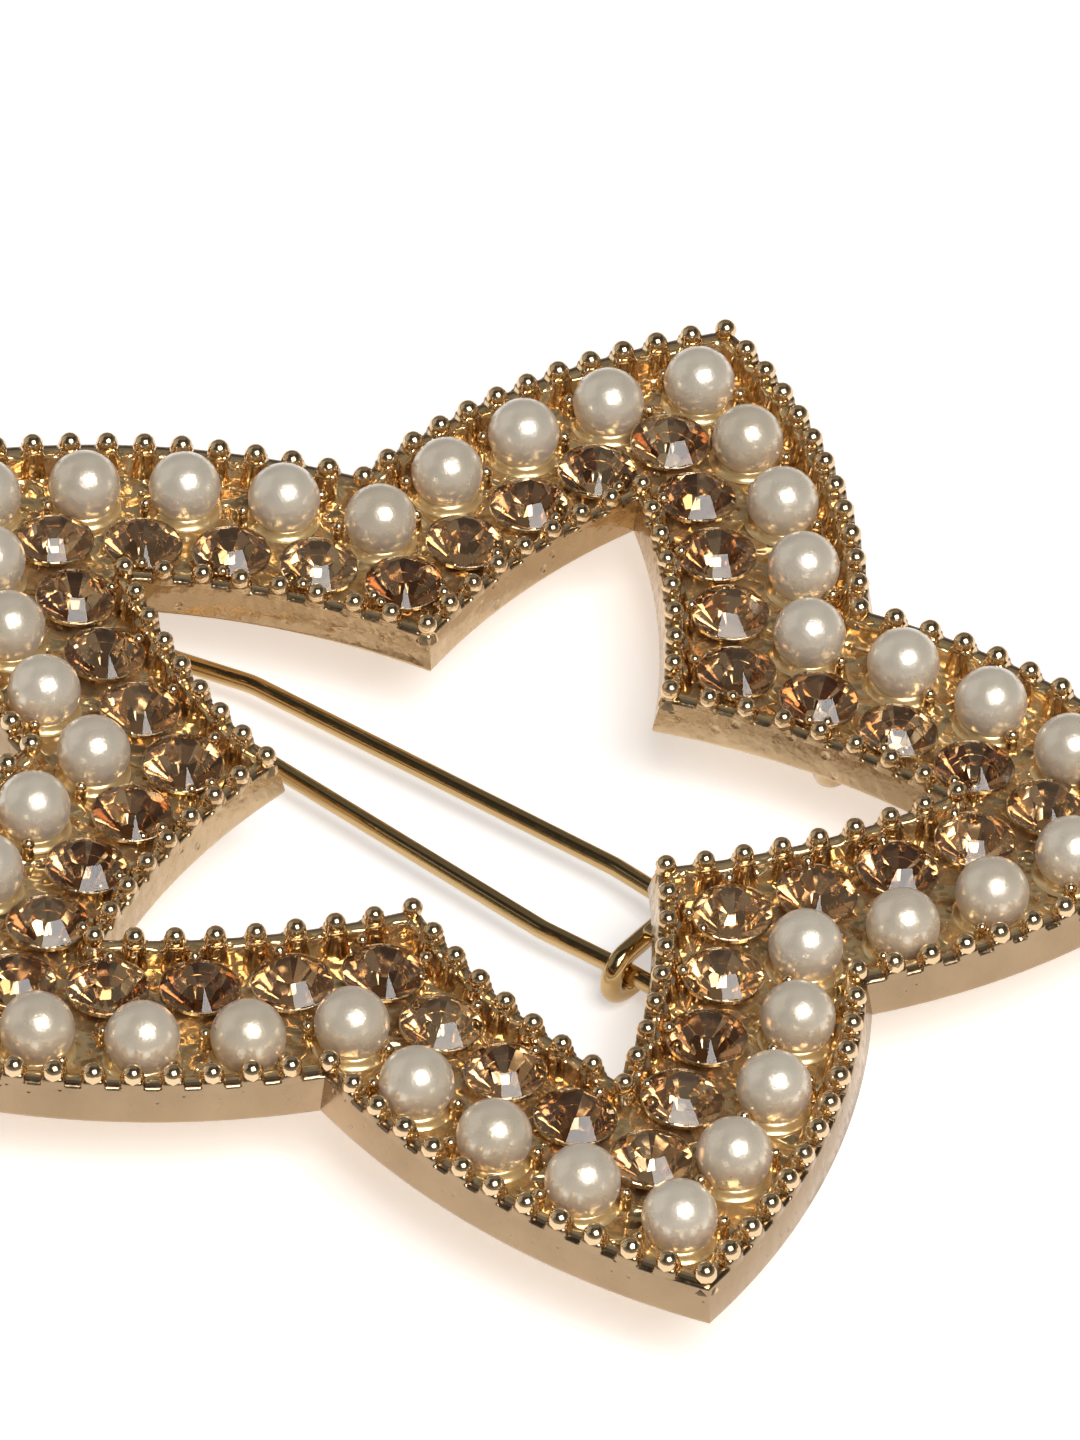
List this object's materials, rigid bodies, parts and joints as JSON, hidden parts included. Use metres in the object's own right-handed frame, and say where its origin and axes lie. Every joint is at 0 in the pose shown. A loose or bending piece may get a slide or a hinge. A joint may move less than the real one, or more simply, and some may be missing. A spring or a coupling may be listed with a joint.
{
  "type": "hair barrette",
  "caption": "Openwork star hair clip: a gilt cast frame with a row of pearls and a row of topaz stones, closed by a hinged U-shaped spring wire that snaps under a double hook.",
  "frame": {"origin": "middle of the part's box in X and Y, at the height of its lowest point, the hooks' ends, so it stands on its clasp with the jewelled face up", "axes": "+X runs from the clasp's hinge to its catch, +Z points out of the jewelled face, +Y across the clasp"},
  "size_m": [0.0558, 0.0586, 0.007],
  "materials": {
    "plated_casting": "polished pale gold plating over a zinc casting",
    "plated_fitting": "gold plated, slightly darker than the frame",
    "plated_wire": "gold plated spring wire",
    "pearl_coating": "ivory pearl lacquer with a soft sheen",
    "foiled_glass": "faceted light topaz glass with a foil back"
  },
  "bodies": {
    "frame": {"star_frame": "plated_casting", "hinge_bracket": "plated_fitting", "catch_hook": "plated_fitting", "pearl_01": "pearl_coating", "pearl_02": "pearl_coating", "pearl_03": "pearl_coating", "pearl_04": "pearl_coating", "pearl_05": "pearl_coating", "pearl_06": "pearl_coating", "pearl_07": "pearl_coating", "pearl_08": "pearl_coating", "pearl_09": "pearl_coating", "pearl_10": "pearl_coating", "pearl_11": "pearl_coating", "pearl_12": "pearl_coating", "pearl_13": "pearl_coating", "pearl_14": "pearl_coating", "pearl_15": "pearl_coating", "pearl_16": "pearl_coating", "pearl_17": "pearl_coating", "pearl_18": "pearl_coating", "pearl_19": "pearl_coating", "pearl_20": "pearl_coating", "pearl_21": "pearl_coating", "pearl_22": "pearl_coating", "pearl_23": "pearl_coating", "pearl_24": "pearl_coating", "pearl_25": "pearl_coating", "pearl_26": "pearl_coating", "pearl_27": "pearl_coating", "pearl_28": "pearl_coating", "pearl_29": "pearl_coating", "pearl_30": "pearl_coating", "pearl_31": "pearl_coating", "pearl_32": "pearl_coating", "pearl_33": "pearl_coating", "pearl_34": "pearl_coating", "pearl_35": "pearl_coating", "pearl_36": "pearl_coating", "pearl_37": "pearl_coating", "pearl_38": "pearl_coating", "pearl_39": "pearl_coating", "pearl_40": "pearl_coating", "stones_01": "foiled_glass", "stones_02": "foiled_glass", "stones_03": "foiled_glass", "stones_04": "foiled_glass", "stones_05": "foiled_glass", "stones_06": "foiled_glass", "stones_07": "foiled_glass", "stones_08": "foiled_glass", "stones_09": "foiled_glass", "stones_10": "foiled_glass"},
    "wire": {"clasp_wire": "plated_wire"}
  },
  "joints": [
    {"name": "clasp_hinge", "type": "hinge", "parent": "frame", "child": "wire", "pos_m": [-0.01862, 0, 0.00152], "axis": [0, 1, 0], "range_deg": [0, 100]}
  ]
}
